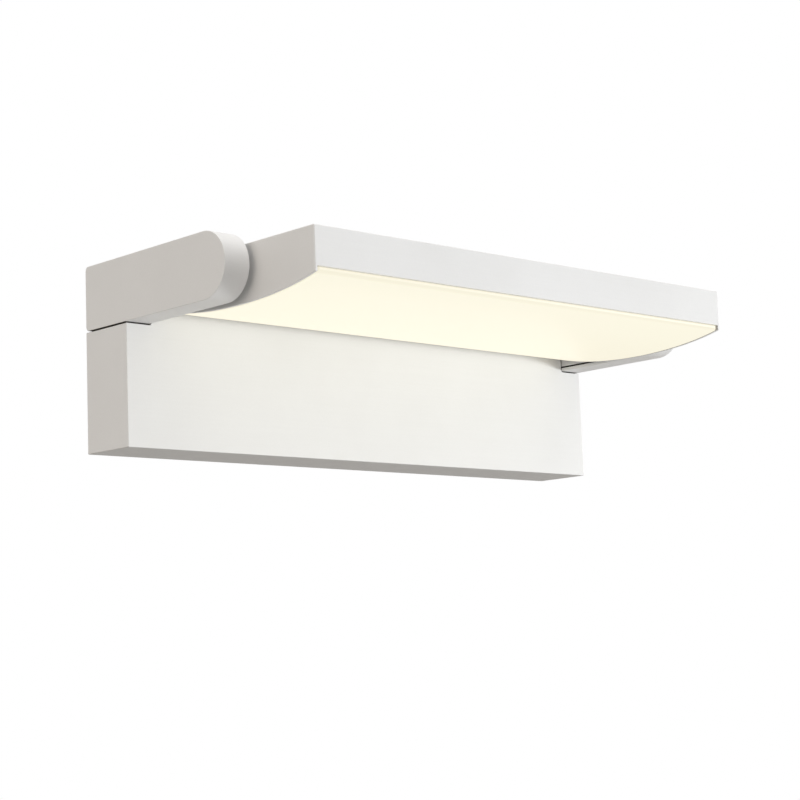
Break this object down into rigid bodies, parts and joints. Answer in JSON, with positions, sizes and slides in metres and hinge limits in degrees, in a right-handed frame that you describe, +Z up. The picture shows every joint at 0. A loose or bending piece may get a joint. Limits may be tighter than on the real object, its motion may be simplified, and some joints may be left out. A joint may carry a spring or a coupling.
{
  "type": "outdoor wall light",
  "caption": "Flat box-shaped outdoor wall light: a lit head with a bowed opal underside tilts between side arms let into the upper corners of a wall box.",
  "frame": {"origin": "middle of the wall plate's back face, on the wall", "axes": "+X along the wall, to the viewer's right; +Y into the wall; +Z up; at rest the lit face looks down"},
  "size_m": [0.26, 0.1235, 0.075],
  "materials": {
    "painted_aluminium": "satin",
    "opal_panel": "satin",
    "wall_plate_steel": "satin",
    "stainless_steel": "satin",
    "brass": "satin",
    "white_moulding": "matte",
    "board_metal": "satin",
    "driver_case": "matte",
    "grey_silicone": "matte",
    "black_rubber": "matte",
    "black_nylon": "matte",
    "brown_core": "satin",
    "blue_core": "satin",
    "green_core": "satin",
    "white_sheath": "satin"
  },
  "bodies": {
    "wall_body": {"base_housing": "painted_aluminium", "wall_plate": "wall_plate_steel", "wall_seal": "black_rubber", "cable_grommet": "black_rubber", "box_screw_left": "stainless_steel", "box_screw_right": "stainless_steel", "led_driver": "driver_case", "driver_screw_1": "wall_plate_steel", "driver_screw_2": "wall_plate_steel", "terminal_block": "white_moulding", "clamp_screw_1": "brass", "clamp_screw_2": "brass", "clamp_screw_3": "brass", "block_screw": "wall_plate_steel", "earth_tag": "brass", "earth_screw": "brass", "live_lead": "brown_core", "neutral_lead": "blue_core", "earth_lead": "green_core", "lead_grommet": "black_rubber", "driver_lead": "white_sheath", "arm_left": "painted_aluminium", "arm_right": "painted_aluminium", "arm_cover_left": "painted_aluminium", "arm_cover_right": "painted_aluminium", "arm_screw_left_1": "stainless_steel", "arm_screw_left_2": "stainless_steel", "arm_screw_right_1": "stainless_steel", "arm_screw_right_2": "stainless_steel", "cover_screw_left": "stainless_steel", "cover_screw_right": "stainless_steel", "bush_left": "black_nylon", "bush_right": "black_nylon"},
    "head": {"head_housing": "painted_aluminium", "diffuser": "opal_panel", "diffuser_seal": "grey_silicone", "thermal_pad": "grey_silicone", "led_board": "board_metal", "board_screw_1": "stainless_steel", "board_screw_2": "stainless_steel", "board_screw_3": "stainless_steel", "board_screw_4": "stainless_steel", "board_connector": "white_moulding", "reflector": "white_moulding", "board_lead": "white_sheath", "pivot_left": "stainless_steel", "pivot_right": "stainless_steel", "spacer_left": "black_nylon", "spacer_right": "black_nylon", "disc_spring_left": "stainless_steel", "disc_spring_right": "stainless_steel", "pivot_nut_left": "stainless_steel", "pivot_nut_right": "stainless_steel", "stop_pin_left": "stainless_steel", "stop_pin_right": "stainless_steel"}
  },
  "joints": [
    {"name": "head_tilt", "type": "hinge", "parent": "wall_body", "child": "head", "pos_m": [0, -0.0772, 0.0245], "axis": [1, 0, 0], "range_deg": [-90, 90]}
  ]
}
